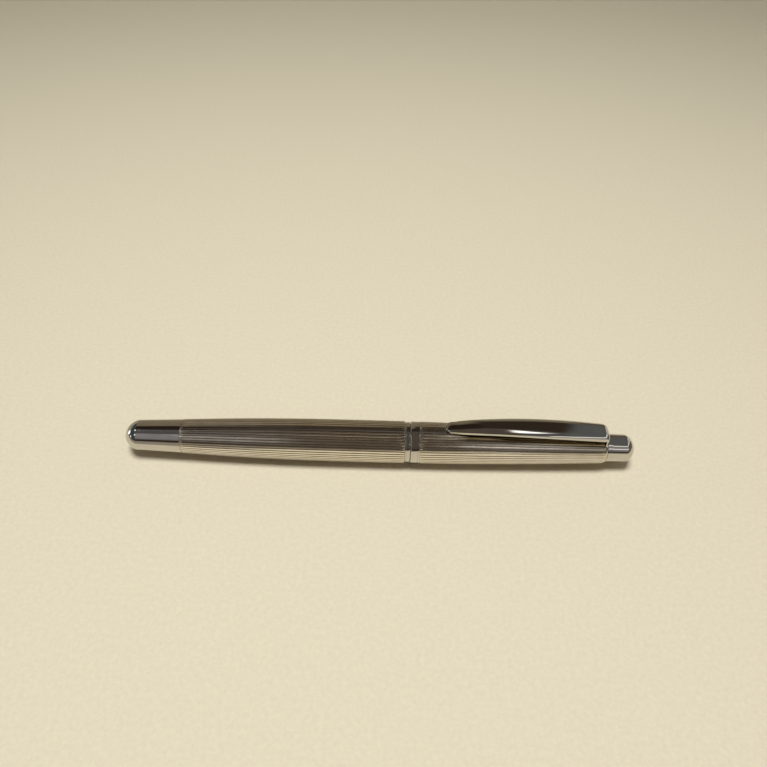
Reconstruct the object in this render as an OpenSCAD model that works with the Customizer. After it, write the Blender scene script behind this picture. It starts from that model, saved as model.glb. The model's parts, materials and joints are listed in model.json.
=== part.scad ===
// Slim metal fountain pen with a slip cap, a sprung clip and a piston converter.
// The pen lies along X, tail at -X and nib at +X, with the clip uppermost at +Z.
// The origin is on the pen's axis, at the middle of the plain round stretch that a pen loop grips.
// A station is a distance in millimetres along the axis from the tip of the tail.

/* [Pen] */
// Largest diameter of the barrel and the cap
crown_d = 11.6; // [11.4:0.1:12]
// Wall thickness of the barrel and cap tubes
wall_t = 0.6; // [0.5:0.05:0.65]
// Radial clearance of pieces that turn or slide in each other
running = 0.05; // [0.03:0.01:0.08]
// Gap left between end faces of pieces that part or turn
face_gap = 0.1; // [0.05:0.05:0.15]

/* [Barrel] */
// Length of the whole barrel, tail cap and mouth ring included
barrel_l = 77.95; // [77.5:0.05:78.5]
// Length of the polished tail cap
tail_l = 16; // [14.5:0.25:17]
// Length of the tail cap's dome
tail_dome_l = 4.1; // [3.5:0.1:4.5]
// Diameter where the tail cap's dome begins
tail_dome_d = 8.44; // [8:0.02:8.8]
// Roundness of the dome, where 2 is an ellipse and less is more pointed
dome_power = 1.85; // [1.6:0.05:2.2]
// Radius of the long bow that the barrel follows towards the tail
barrel_bow_r = 832; // [800:4:900]
// Length of the plain round stretch that a pen loop grips, up to the mouth ring
seat_l = 17.5; // [16:0.5:18]
// Length of the ring at the barrel's mouth
mouth_ring_l = 1.45; // [1.35:0.05:1.6]
// Length of the threaded liner inside the barrel's mouth
liner_l = 5.5; // [5:0.1:6]

/* [Section] */
// Length of the clutch ring that the cap closes over
clutch_ring_l = 1.8; // [1.6:0.1:2]
// Radius of the clutch ring
clutch_ring_r = 5.05; // [5:0.01:5.08]
// Radius over the section's screw thread
thread_r = 4.45; // [4.4:0.01:4.5]
// Bore radius of the section's threaded tube
section_bore_r = 3.6; // [3.55:0.05:3.65]
// Length of the grip between the clutch ring and the front ring
grip_l = 19.15; // [18.5:0.05:19.5]
// Radius of the grip at its waist
grip_waist_r = 4; // [3.9:0.05:4.1]
// Length of the ring at the front of the grip
front_ring_l = 1.4; // [1.2:0.1:1.5]

/* [Nib] */
// Distance that the nib stands out of the front ring
nib_out = 20.2; // [19:0.1:20.5]
// Outer radius of the nib's curved body
nib_r = 3.05; // [3:0.01:3.1]
// Thickness of the nib's metal
nib_t = 0.35; // [0.25:0.05:0.4]
// Radius of the breather hole
breather_r = 0.55; // [0.4:0.05:0.7]
// Width of the slit between the tines
slit_w = 0.12; // [0.08:0.02:0.2]
// Number of fins on the underside of the feed
fin_count = 9; // [5:1:10]

/* [Converter] */
// Outer radius of the clear ink tube
ink_tube_r = 3.3; // [3.2:0.05:3.35]
// Bore radius of the clear ink tube
ink_bore_r = 2.7; // [2.6:0.05:2.8]
// Radius of the turning knob
knob_r = 3.3; // [3.1:0.05:3.4]
// Length of the knob behind the ferrule
knob_l = 10.5; // [10:0.25:11]
// Number of grip flutes round the knob
knob_flutes = 18; // [12:1:24]
// Travel of the piston
piston_travel = 16; // [14:1:16]

/* [Cap] */
// Length of the cap without its finial
cap_l = 53.05; // [52.5:0.05:53.5]
// Radius of the long bow that the cap follows towards the finial
cap_bow_r = 1250; // [1200:10:1300]
// Length of the polished ring at the cap's lip
lip_ring_l = 2.45; // [2:0.05:3]
// Length of the finial
finial_l = 8.25; // [8:0.05:8.5]
// Radius of the finial where its dome begins
finial_r = 3.8; // [3.7:0.02:3.9]
// Length of the finial's dome
finial_dome_l = 2.8; // [2.5:0.1:3]

/* [Clip] */
// Length of the clip from its tip to its root
clip_l = 43.95; // [43.5:0.05:44.5]
// Greatest width of the clip
clip_w = 6.2; // [5.8:0.1:6.4]
// Height of the clip's top above the pen's axis at its highest point
clip_top_z = 8.1; // [8:0.05:8.3]
// Thickness of the clip at its highest point
clip_t = 1.45; // [1.3:0.05:1.5]
// Radius of the clip's rounded tip in plan
clip_tip_r = 1.75; // [1.6:0.05:1.9]

/* [Hidden] */

round_fn = 96;
fine_fn = 48;
bow_steps = 24;
dome_steps = 14;
// How far a cutting shape runs past the solid that it cuts
past = 1;

// Stations of the barrel
crown_r = crown_d / 2;
tube_end_s = barrel_l - mouth_ring_l - running;
seat_s = tube_end_s - seat_l / 2;
bow_start_s = tube_end_s - seat_l;
liner_s = tube_end_s - liner_l;
plug_end_s = tail_l + 3.75;
plug_r = 3.9;
tail_stud_r = 2;
tail_stud_s = tail_l - 5;
mouth_ring_r = crown_r - 0.2;
mouth_ring_bore_r = 5.25;

// Stations of the section
clutch_s = barrel_l + running;
grip_s = clutch_s + clutch_ring_l + running;
grip_end_s = grip_s + grip_l;
section_end_s = grip_end_s + front_ring_l;
thread_start_s = liner_s + 0.2;
tenon_end_s = grip_s + 4.65;
tenon_r = 4;
grip_root_r = 4.6;
grip_lip_r = 4.22;
o_ring_r = 0.3;
o_ring_mid_r = 4.85;
o_ring_s = (tube_end_s + clutch_s) / 2;

// Stations of the nib and feed
housing_s = grip_end_s - 12;
housing_wall_l = 1.4;
spigot_l = 6.5;
spigot_r = 1.25;
ink_hole_r = 0.45;
nib_root_s = housing_s + 2.5;
nib_end_s = section_end_s + nib_out;
nib_shoulder_s = section_end_s + 5;
breather_s = section_end_s + 9;
feed_r = nib_r - nib_t - 0.02;
feed_end_s = nib_end_s - 3.6;
tip_r = 0.38;

// Stations of the converter
mouth_s = 86;
mouth_wall_l = 6;
collar_l = 3.2;
knob_end_s = 26;
ferrule_s = knob_end_s + knob_l + face_gap;
ferrule_l = 15;
ferrule_r = 3.5;
ferrule_lip_l = 1.5;
tube_start_s = ferrule_s + 7;
neck_r = 2.25;
neck_end_s = tube_start_s + 2;
guide_s = neck_end_s + 0.2;
guide_l = 3.8;
rod_r = 1.05;
rod_end_s = knob_end_s + piston_travel + 1.2;
piston_s = mouth_s - mouth_wall_l - 5;
piston_l = 4;

// Stations of the cap
lip_s = barrel_l + face_gap;
cap_crown_s = 71;
cap_tube_s = lip_s + lip_ring_l;
cap_end_s = lip_s + cap_l;
cap_end_r = 4.05;
shoulder_l = 1.1;
end_wall_l = 1.6;
sleeve_l = 16.5;
sleeve_bore_r = 4.75;
liner_cap_s = section_end_s + 0.3;
liner_cap_end_s = cap_end_s - 4;
liner_cap_t = 0.55;
screw_r = 1.5;
screw_head_r = 3;
screw_head_l = 2;
screw_end_s = cap_end_s + 4.5;
finial_root_r = 4;
finial_neck_s = cap_end_s + 2;
finial_neck_r = 3.85;
pen_l = cap_end_s + finial_l;

// Stations and bows of the clip
washer_r = 3.2;
washer_l = 0.6;
root_w = 5.2;
root_t = 0.8;
root_end_s = cap_end_s + 0.15;
root_in_s = root_end_s - root_t;
notch_w = 5.6;
notch_low = 1.9;
notch_s = root_in_s - 0.12;
clip_tip_s = root_end_s - clip_l;
clip_crown_s = clip_tip_s + 17.7;
clip_wide_s = clip_tip_s + 28.7;
top_bow_front = 0.0046;
top_bow_root = 0.0021;
under_bow_front = 0.0029;
width_bow = 0.0018;
pivot_s = root_end_s - root_t / 2;
pivot_z = 4;
pivot_r = 0.25;
pivot_l = root_w - 2;
hug_r = 4.15;
hem_z = 2.9;
clip_line_s = clip_tip_s + 0.4;
foot_r = 0.9;
foot_s = clip_tip_s + 2.6;

// Radius of the barrel's outside at a station
function barrel_r(s) = crown_r - pow(max(0, bow_start_s - s), 2) / (2 * barrel_bow_r);

// Radius of the cap's outside at a station, before its end is rounded
function cap_r(s) = crown_r - pow(s - cap_crown_s, 2) / (2 * cap_bow_r);

// Height of the clip's top at a station
function clip_top(s) =
  clip_top_z - pow(s - clip_crown_s, 2) * (s < clip_crown_s ? top_bow_front : top_bow_root);

// Height of the clip's underside at a station
function clip_under(s) = clip_top_z - clip_t
  - pow(s - clip_crown_s, 2) * (s < clip_crown_s ? under_bow_front : top_bow_root);

// Half the clip's width at a station
function clip_half_w(s) = clip_w / 2 - width_bow * pow(s - clip_wide_s, 2);

// Points [station, value] of a curve between two stations
function curve(f, from, to, steps = bow_steps) =
  [for (i = [0:steps]) let (s = from + (to - from) * i / steps) [s, f(s)]];

// Points of a dome that rises from its tip to a radius over a length; way is 1 or -1 along the pen
function dome(tip_s, length, radius, way) = [
  for (i = [0:dome_steps])
    let (a = 90 * i / dome_steps)
      [tip_s + way * length * (1 - pow(cos(a), 2 / dome_power)), radius * pow(sin(a), 2 / dome_power)]
];

function reversed(points) = [for (i = [len(points) - 1:-1:0]) points[i]];

// Line of the clip's underside, from its tip to the bend at its root
clip_under_line = curve(function (s) clip_under(s), clip_line_s, root_in_s - 1, 20);

// Solid turned about the pen's axis from a closed outline of [station, radius] points
module turned(outline) {
  translate([-seat_s, 0, 0])
    rotate([0, 90, 0])
      rotate_extrude($fn = round_fn)
        polygon([for (p = outline) [p[1], p[0]]]);
}

// Round bar or hole on the pen's axis between two stations
module bar(from, to, radius) {
  translate([from - seat_s, 0, 0])
    rotate([0, 90, 0])
      cylinder(r = radius, h = to - from, $fn = round_fn);
}

// Plain tube on the pen's axis between two stations
module ring(from, to, bore, radius) {
  difference() {
    bar(from, to, radius);
    bar(from - past, to + past, bore);
  }
}

// Block between two stations, as wide and as high as given
module block(from, to, width, low, high) {
  translate([from - seat_s, -width / 2, low])
    cube([to - from, width, high - low]);
}

// Flat outline of [station, height] points, given a width across the pen
module side_cut(outline, width) {
  translate([-seat_s, width / 2, 0])
    rotate([90, 0, 0])
      linear_extrude(height = width)
        polygon(outline);
}

// Flat outline of [station, sideways] points, given a height
module plan_cut(outline, low, high) {
  translate([-seat_s, 0, low])
    linear_extrude(height = high - low)
      polygon(outline);
}

module barrel_tube() {
  bore = function (s) barrel_r(s) - wall_t;
  color("silver")
    turned(concat(
      curve(function (s) barrel_r(s), tail_l, bow_start_s),
      [[tube_end_s, crown_r], [tube_end_s, crown_r - wall_t]],
      reversed(curve(bore, plug_end_s, bow_start_s)),
      [[plug_end_s, plug_r], [tail_l, plug_r]]
    ));
}

module barrel_liner() {
  color("goldenrod")
    ring(liner_s, tube_end_s, thread_r + running, crown_r - wall_t);
}

module barrel_mouth_ring() {
  color("gainsboro")
    ring(tube_end_s, barrel_l, mouth_ring_bore_r, mouth_ring_r);
}

module barrel_end() {
  color("gainsboro")
    difference() {
      turned(concat(
        dome(0, tail_dome_l, tail_dome_d / 2, 1),
        [[tail_l, barrel_r(tail_l)], [tail_l, 0]]
      ));
      bar(tail_stud_s, tail_l + past, tail_stud_r);
    }
}

module barrel_end_stud() {
  color("goldenrod") {
    bar(tail_l, plug_end_s, plug_r);
    bar(tail_stud_s, tail_l, tail_stud_r);
  }
}

module section_o_ring() {
  color("dimgray")
    translate([o_ring_s - seat_s, 0, 0])
      rotate([0, 90, 0])
        rotate_extrude($fn = round_fn)
          translate([o_ring_mid_r, 0])
            circle(r = o_ring_r, $fn = fine_fn);
}

module section_clutch_ring() {
  color("gainsboro")
    ring(clutch_s, clutch_s + clutch_ring_l, thread_r, clutch_ring_r);
}

module section_thread() {
  neck = thread_r - running;
  plain_r = thread_r - 0.25;
  tube_s = liner_s - 5;
  color("goldenrod")
    turned([
      [tube_s, plain_r],
      [thread_start_s, plain_r],
      [thread_start_s, thread_r],
      [tube_end_s, thread_r],
      [tube_end_s, neck],
      [grip_s, neck],
      [grip_s, tenon_r],
      [tenon_end_s, tenon_r],
      [tenon_end_s, section_bore_r],
      [tube_s, section_bore_r]
    ]);
}

module section_grip() {
  waist_share = 0.8;
  waist_s = grip_s + grip_l * waist_share;
  sweep = function (s) grip_waist_r + (grip_root_r - grip_waist_r)
    * pow((waist_s - s) / (waist_s - grip_s), 2);
  flare = function (s) grip_waist_r + (grip_lip_r - grip_waist_r)
    * pow((s - waist_s) / (grip_end_s - waist_s), 2);
  color("black")
    turned(concat(
      curve(sweep, grip_s, waist_s, 12),
      curve(flare, waist_s + 0.3, grip_end_s, 6),
      [
        [grip_end_s, section_bore_r],
        [tenon_end_s, section_bore_r],
        [tenon_end_s, tenon_r],
        [grip_s, tenon_r]
      ]
    ));
}

module section_front_ring() {
  bead = front_ring_l / 2;
  color("gainsboro")
    turned(concat(
      [[grip_end_s, nib_r + running], [grip_end_s, grip_lip_r]],
      [for (a = [0:15:90]) [section_end_s - bead + bead * sin(a), grip_lip_r - bead + bead * cos(a)]],
      [[section_end_s, nib_r + running]]
    ));
}

module nib_housing() {
  color("black")
    difference() {
      union() {
        bar(housing_s, grip_end_s, section_bore_r);
        bar(housing_s - spigot_l, housing_s, spigot_r);
      }
      bar(housing_s + housing_wall_l, grip_end_s + past, nib_r);
      bar(housing_s - spigot_l - past, housing_s + housing_wall_l + past, ink_hole_r);
    }
}

module feed() {
  fin_pitch = 0.85;
  fin_gap = 0.4;
  fin_core_r = feed_r - 0.8;
  fin_top_z = 0.2;
  first_gap_s = section_end_s + 0.6;
  channel_w = 0.3;
  channel_low_z = feed_r - 0.5;
  flank = [
    [housing_s + housing_wall_l, feed_r],
    [feed_end_s, feed_r],
    [feed_end_s - 2, feed_r - 1.2],
    [nib_shoulder_s + 2.5, -feed_r * 0.55],
    [nib_shoulder_s, -feed_r],
    [housing_s + housing_wall_l, -feed_r]
  ];
  color("black")
    difference() {
      intersection() {
        bar(housing_s + housing_wall_l, feed_end_s, feed_r);
        side_cut(flank, 2 * feed_r);
      }
      for (i = [0:fin_count - 1])
        let (s = first_gap_s + fin_pitch * i)
          difference() {
            block(s, s + fin_gap, 2 * nib_r, -nib_r, fin_top_z);
            bar(s - past, s + fin_gap + past, fin_core_r);
          }
      block(housing_s, feed_end_s + past, channel_w, channel_low_z, nib_r);
    }
}

module nib() {
  tines_half_w = 0.42;
  taper_power = 1.5;
  wrap_low_z = 0.35;
  taper = function (s) tines_half_w + (nib_r - tines_half_w)
    * (1 - pow((s - nib_shoulder_s) / (nib_end_s - nib_shoulder_s), taper_power));
  edge = curve(taper, nib_shoulder_s, nib_end_s, 16);
  outline = concat(
    [[nib_root_s, nib_r], [nib_shoulder_s, nib_r]],
    edge,
    [for (p = reversed(edge)) [p[0], -p[1]]],
    [[nib_shoulder_s, -nib_r], [nib_root_s, -nib_r]]
  );
  color("gold")
    difference() {
      intersection() {
        ring(nib_root_s, nib_end_s, nib_r - nib_t, nib_r);
        plan_cut(outline, wrap_low_z, nib_r + past);
      }
      translate([breather_s - seat_s, 0, 0])
        cylinder(r = breather_r, h = nib_r + past, $fn = fine_fn);
      block(breather_s, nib_end_s + past, slit_w, 0, nib_r + past);
    }
}

module nib_tip() {
  color("silver")
    translate([nib_end_s - seat_s + tip_r * 0.6, 0, nib_r - nib_t])
      sphere(r = tip_r, $fn = fine_fn);
}

module converter_tube() {
  color("lightblue")
    difference() {
      bar(tube_start_s, mouth_s, ink_tube_r);
      bar(tube_start_s - past, mouth_s - mouth_wall_l, ink_bore_r);
      bar(mouth_s - mouth_wall_l - past, mouth_s + past, spigot_r + running);
    }
}

module converter_mouth_collar() {
  color("black")
    ring(mouth_s - collar_l, mouth_s, ink_tube_r, section_bore_r - 0.15);
}

module converter_ferrule() {
  color("gainsboro")
    difference() {
      bar(ferrule_s, ferrule_s + ferrule_l, ferrule_r);
      bar(ferrule_s + ferrule_lip_l, ferrule_s + ferrule_l + past, ink_tube_r);
      bar(ferrule_s - past, ferrule_s + ferrule_lip_l + past, neck_r + running);
    }
}

module converter_guide() {
  color("black")
    ring(guide_s, guide_s + guide_l, rod_r + running, ink_bore_r);
}

module converter_knob() {
  rim = 0.6;
  floor_t = 0.6;
  flute_r = 0.35;
  flute_mid_r = knob_r + 0.1;
  flute_s = knob_end_s + 2;
  flute_l = knob_l - 3.5;
  color("black")
    difference() {
      union() {
        turned([
          [knob_end_s, 0],
          [knob_end_s, knob_r - rim],
          [knob_end_s + rim, knob_r],
          [knob_end_s + knob_l, knob_r],
          [knob_end_s + knob_l, 0]
        ]);
        bar(knob_end_s + knob_l, neck_end_s, neck_r);
      }
      bar(knob_end_s + floor_t, neck_end_s + past, rod_r + running);
      for (i = [0:knob_flutes - 1])
        rotate([360 / knob_flutes * i, 0, 0])
          translate([flute_s - seat_s, 0, flute_mid_r])
            rotate([0, 90, 0])
              cylinder(r = flute_r, h = flute_l, $fn = 16);
    }
}

module piston_rod() {
  color("whitesmoke")
    bar(rod_end_s, piston_s, rod_r);
}

module piston_seal() {
  land = 0.9;
  waist = ink_bore_r - 0.5;
  seal_r = ink_bore_r - running;
  color("dimgray")
    turned([
      [piston_s, 0],
      [piston_s, seal_r],
      [piston_s + land, seal_r],
      [piston_s + land, waist],
      [piston_s + piston_l - land, waist],
      [piston_s + piston_l - land, seal_r],
      [piston_s + piston_l, seal_r],
      [piston_s + piston_l, 0]
    ]);
}

module cap_liner() {
  outside = function (s) cap_r(s) - wall_t - running;
  inside = function (s) cap_r(s) - wall_t - running - liner_cap_t;
  floor_s = liner_cap_end_s - 1;
  color("black")
    turned(concat(
      curve(outside, liner_cap_s, liner_cap_end_s, 12),
      [[liner_cap_end_s, 0], [floor_s, 0]],
      reversed(curve(inside, liner_cap_s, floor_s, 12))
    ));
}

module cap_tube() {
  bore = function (s) cap_r(s) - wall_t;
  wall_s = cap_end_s - end_wall_l;
  shoulder_s = cap_end_s - shoulder_l;
  shoulder = function (s) cap_end_r + (cap_r(shoulder_s) - cap_end_r)
    * sqrt(1 - pow((s - shoulder_s) / shoulder_l, 2));
  color("silver")
    difference() {
      turned(concat(
        curve(function (s) cap_r(s), cap_tube_s, shoulder_s),
        curve(shoulder, shoulder_s + 0.2, cap_end_s, 6),
        [[cap_end_s, screw_r + running], [wall_s, screw_r + running]],
        reversed(curve(bore, cap_tube_s, wall_s))
      ));
      block(notch_s, cap_end_s + past, notch_w, notch_low, crown_r);
    }
}

module cap_lip_ring() {
  color("gainsboro")
    turned([
      [lip_s, clutch_ring_r + running],
      [lip_s, cap_r(lip_s)],
      [cap_tube_s, cap_r(cap_tube_s)],
      [cap_tube_s, clutch_ring_r + running]
    ]);
}

module cap_clutch_sleeve() {
  outside = function (s) cap_r(s) - wall_t;
  color("goldenrod")
    turned(concat(
      curve(outside, cap_tube_s, cap_tube_s + sleeve_l, 8),
      [[cap_tube_s + sleeve_l, sleeve_bore_r], [cap_tube_s, sleeve_bore_r]]
    ));
}

module cap_screw() {
  head_s = cap_end_s - end_wall_l - screw_head_l;
  slot_w = 0.7;
  slot_deep = 0.8;
  color("goldenrod") {
    difference() {
      bar(head_s, head_s + screw_head_l, screw_head_r);
      block(head_s - past, head_s + slot_deep, slot_w, -screw_head_r - past, screw_head_r + past);
    }
    bar(head_s + screw_head_l, screw_end_s, screw_r);
  }
}

module cap_finial() {
  color("gainsboro")
    difference() {
      turned(concat(
        [[cap_end_s, 0], [cap_end_s, finial_root_r], [finial_neck_s, finial_neck_r]],
        reversed(dome(pen_l, finial_dome_l, finial_r, -1))
      ));
      bar(cap_end_s - past, screw_end_s, screw_r);
      bar(cap_end_s - past, cap_end_s + washer_l, washer_r);
    }
}

module clip_root() {
  color("gainsboro")
    difference() {
      union() {
        bar(cap_end_s, cap_end_s + washer_l, washer_r);
        intersection() {
          block(root_in_s, cap_end_s, root_w, notch_low + face_gap, finial_root_r);
          bar(root_in_s - past, cap_end_s + past, finial_root_r - 0.02);
        }
        translate([pivot_s - seat_s, pivot_l / 2, pivot_z])
          rotate([90, 0, 0])
            cylinder(r = pivot_r, h = pivot_l, $fn = fine_fn);
      }
      bar(root_in_s - past, cap_end_s + past, screw_r);
    }
}

module clip_blade() {
  bend_s = root_end_s - 1.5;
  top = curve(function (s) clip_top(s), clip_line_s, bend_s, 20);
  tip_low = clip_under(clip_line_s);
  tip_high = clip_top(clip_line_s);
  side = concat(
    [[clip_tip_s, tip_low + 0.25], [clip_tip_s, tip_high - 0.35]],
    top,
    [[root_end_s - 0.7, clip_top(bend_s) - 0.35], [root_end_s - 0.15, clip_top(bend_s) - 1.1]],
    [[root_end_s, pivot_z], [root_end_s, hem_z], [root_in_s, hem_z]],
    [[root_in_s, clip_under(root_in_s) - 0.4]],
    reversed(clip_under_line)
  );
  round_s = clip_tip_s + clip_tip_r;
  tip = [for (a = [90:-10:-90]) [round_s - clip_tip_r * cos(a), clip_tip_r * sin(a)]];
  edge = curve(function (s) clip_half_w(s), round_s + 1.2, root_end_s + past, 20);
  plan = concat(reversed(tip), edge, [for (p = reversed(edge)) [p[0], -p[1]]]);
  color("gainsboro")
    difference() {
      intersection() {
        side_cut(side, clip_w + past);
        plan_cut(plan, hem_z - past, clip_top_z + past);
      }
      bar(root_in_s - past, root_end_s + past, hug_r);
      translate([pivot_s - seat_s, pivot_l / 2 + face_gap, pivot_z])
        rotate([90, 0, 0])
          cylinder(r = pivot_r + running, h = pivot_l + 2 * face_gap, $fn = fine_fn);
    }
}

module clip_foot() {
  low = cap_r(foot_s) + 1.5 * face_gap;
  blade = concat([[clip_tip_s, clip_top_z]], clip_under_line, [[cap_end_s, clip_top_z]]);
  color("gainsboro")
    difference() {
      translate([foot_s - seat_s, 0, low])
        cylinder(r = foot_r, h = clip_top(foot_s) - low, $fn = fine_fn);
      side_cut(blade, clip_w);
    }
}

barrel_tube();
barrel_liner();
barrel_mouth_ring();
barrel_end();
barrel_end_stud();
section_o_ring();
section_clutch_ring();
section_thread();
section_grip();
section_front_ring();
nib_housing();
feed();
nib();
nib_tip();
converter_tube();
converter_mouth_collar();
converter_ferrule();
converter_guide();
converter_knob();
piston_rod();
piston_seal();
cap_liner();
cap_tube();
cap_lip_ring();
cap_clutch_sleeve();
cap_screw();
cap_finial();
clip_root();
clip_blade();
clip_foot();
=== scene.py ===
import json
from math import acos, asin, atan, cos, pi, radians, sin, sqrt

import bmesh
import bpy
import numpy as np
from mathutils import Euler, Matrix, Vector


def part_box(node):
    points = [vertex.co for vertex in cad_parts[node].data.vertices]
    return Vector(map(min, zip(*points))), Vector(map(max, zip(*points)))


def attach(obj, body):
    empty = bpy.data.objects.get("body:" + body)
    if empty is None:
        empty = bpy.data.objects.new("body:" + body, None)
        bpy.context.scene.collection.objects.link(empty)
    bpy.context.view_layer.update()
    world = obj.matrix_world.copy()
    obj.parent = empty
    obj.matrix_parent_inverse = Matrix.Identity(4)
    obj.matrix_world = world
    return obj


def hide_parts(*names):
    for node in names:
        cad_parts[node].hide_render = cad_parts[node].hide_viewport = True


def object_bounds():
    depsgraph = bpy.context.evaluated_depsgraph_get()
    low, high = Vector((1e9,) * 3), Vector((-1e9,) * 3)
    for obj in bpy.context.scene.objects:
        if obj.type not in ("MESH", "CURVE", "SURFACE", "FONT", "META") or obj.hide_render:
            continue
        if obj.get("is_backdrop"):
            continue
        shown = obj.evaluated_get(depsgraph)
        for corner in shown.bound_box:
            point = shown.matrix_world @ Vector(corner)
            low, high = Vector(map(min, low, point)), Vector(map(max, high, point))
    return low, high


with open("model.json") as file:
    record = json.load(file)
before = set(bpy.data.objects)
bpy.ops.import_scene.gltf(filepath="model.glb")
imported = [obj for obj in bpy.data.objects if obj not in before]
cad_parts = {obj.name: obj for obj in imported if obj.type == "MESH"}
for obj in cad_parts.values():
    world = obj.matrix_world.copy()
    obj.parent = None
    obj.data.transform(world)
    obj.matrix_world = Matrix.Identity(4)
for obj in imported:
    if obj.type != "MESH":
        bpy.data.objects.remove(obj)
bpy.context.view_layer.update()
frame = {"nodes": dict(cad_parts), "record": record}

# The pen lies along X with its tail at -X and its clip uppermost at +Z.
# Outlines are (x, radius) points in millimetres, and MM turns them into metres.
MM = 0.001
TURNS = 128  # points round a smooth turned piece
SHARP = 32  # edges sharper than this many degrees stay crisp
TUBE_WALL = 0.6  # wall of the barrel and cap tubes
FLUTES = 48  # flutes round the barrel and the cap
FLUTE_DEPTH = 0.1
FLUTE_LAND = 0.64  # share of a flute's pitch that is left at full radius
FLUTE_FADE = 0.25  # length over which a flute runs out at its ends
SEAM = 0.1  # rounding of a tube's edge where it meets the next piece
SEAM_W, SEAM_D = 0.15, 0.2  # width and depth of the fine step beside a polished end
DOME_POWER = 1.85  # 2 would make an ellipse, and less makes a slimmer dome
THREAD_PITCH = 0.8
NIB_SLIT = 0.12  # width of the nib's slit


# ---------- reading the frame

def span(node):
    """First and last x of a CAD node, in millimetres."""
    low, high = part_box(node)
    return low.x / MM, high.x / MM


def radius(node):
    """Largest radius of a round CAD node, in millimetres."""
    low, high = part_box(node)
    return (high.y - low.y) / 2 / MM


SEAT = next(m for m in frame["record"]["mounts"] if m["name"] == "loop_seat")
CROWN_R = radius("barrel_tube")
BARREL_BOW_R = 832  # radii of the long bows of the barrel and the cap
CAP_BOW_R = 1250
CAP_CROWN_X = 3.3  # where the cap is widest


def barrel_r(x):
    """Outer radius of the barrel, which is plain along its seat and then bows in towards the tail."""
    beyond = np.maximum(0, -SEAT["dims"]["length_mm"] / 2 - np.asarray(x, float))
    return CROWN_R - beyond ** 2 / (2 * BARREL_BOW_R)


def cap_r(x):
    """Outer radius of the cap, which bows in towards the finial."""
    return CROWN_R - (np.asarray(x, float) - CAP_CROWN_X) ** 2 / (2 * CAP_BOW_R)


# ---------- outlines

def eased(points, steps=5):
    """Closed outline with corners rounded: each point is (x, radius) or (x, radius, how far to round)."""
    result = []
    count = len(points)
    for i, point in enumerate(points):
        here = Vector(point[:2])
        ease = point[2] if len(point) > 2 else 0
        if not ease:
            result.append(tuple(here))
            continue
        before = here + (Vector(points[i - 1][:2]) - here).normalized() * ease
        after = here + (Vector(points[(i + 1) % count][:2]) - here).normalized() * ease
        for k in range(steps + 1):
            t = k / steps
            bend = before * (1 - t) ** 2 + here * 2 * t * (1 - t) + after * t ** 2
            result.append(tuple(bend))
    return result


def spread_places(x0, x1, count):
    """Places evenly spaced between two ends, the ends left out."""
    return [x0 + (x1 - x0) * (i + 1) / (count + 1) for i in range(count)]


def dome(tip, length, r, power, steps=40):
    """Points from a dome's tip out to its full radius. A tip at the +X end has a negative length."""
    points = []
    for i in range(steps + 1):
        a = pi / 2 * i / steps
        x = tip + length * (1 - cos(a) ** (2 / power))
        points.append((x, r * sin(a) ** (2 / power)))
    return points


# ---------- meshes

def placed(name, data):
    """A new object in the scene."""
    piece = bpy.data.objects.new(name, data)
    bpy.context.scene.collection.objects.link(piece)
    return piece


def grid_mesh(name, points, close_rows, close_columns):
    """Mesh from a grid of points in millimetres, with its rows or columns joined into loops if asked."""
    rows, columns = points.shape[:2]
    faces = []
    for i in range(rows if close_rows else rows - 1):
        for j in range(columns if close_columns else columns - 1):
            i2, j2 = (i + 1) % rows, (j + 1) % columns
            faces.append((i * columns + j, i2 * columns + j, i2 * columns + j2, i * columns + j2))
    mesh = bpy.data.meshes.new(name)
    mesh.from_pydata((points.reshape(-1, 3) * MM).tolist(), [], faces)
    tidy_mesh(mesh)
    return placed(name, mesh)


def smooth(mesh, sharp_from=SHARP):
    """Shades a mesh smoothly, except across edges sharper than an angle in degrees."""
    for face in mesh.polygons:
        face.use_smooth = True
    mesh.set_sharp_from_angle(angle=radians(sharp_from))


def tidy_mesh(mesh):
    """Joins doubled points, turns the faces outward and shades smoothly between sharp edges."""
    work = bmesh.new()
    work.from_mesh(mesh)
    bmesh.ops.remove_doubles(work, verts=work.verts, dist=2e-7)
    bmesh.ops.dissolve_degenerate(work, edges=work.edges, dist=1e-7)
    bmesh.ops.recalc_face_normals(work, faces=work.faces)
    work.to_mesh(mesh)
    work.free()
    smooth(mesh)


def close_ends(piece):
    """Caps the open ends of a piece and turns its faces outward."""
    work = bmesh.new()
    work.from_mesh(piece.data)
    bmesh.ops.holes_fill(work, edges=[edge for edge in work.edges if edge.is_boundary])
    bmesh.ops.recalc_face_normals(work, faces=work.faces)
    work.to_mesh(piece.data)
    work.free()


def around(count):
    """Angles evenly spaced once round, in radians."""
    return np.linspace(0, 2 * pi, count, endpoint=False)


def lathe(name, outline, closed=True, relief=None, angles=None):
    """Turns an outline about the pen's axis. relief(x, r, angle) may change each point's radius."""
    outline = np.array(outline, float)
    if angles is None:
        angles = around(TURNS)
    x = np.repeat(outline[:, 0:1], len(angles), axis=1)
    r = np.repeat(outline[:, 1:2], len(angles), axis=1)
    a = np.repeat(angles[None, :], len(outline), axis=0)
    if relief is not None:
        r = relief(x, r, a)
    points = np.stack([x, r * np.sin(a), r * np.cos(a)], axis=2)
    return grid_mesh(name, points, closed, True)


BODY_OF = {node: body for body, nodes in frame["record"]["behaviour"]["bodies"].items() for node in nodes}


def finished(piece, node, slot):
    """Gives a piece its slot's material, lets it ride on its CAD node's body and stand for that node."""
    piece.data.materials.clear()
    piece.data.materials.append(MATERIALS[slot])
    piece.modifiers.new("even_shading", "WEIGHTED_NORMAL").keep_sharp = True
    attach(piece, BODY_OF[node])
    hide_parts(node)


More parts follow.
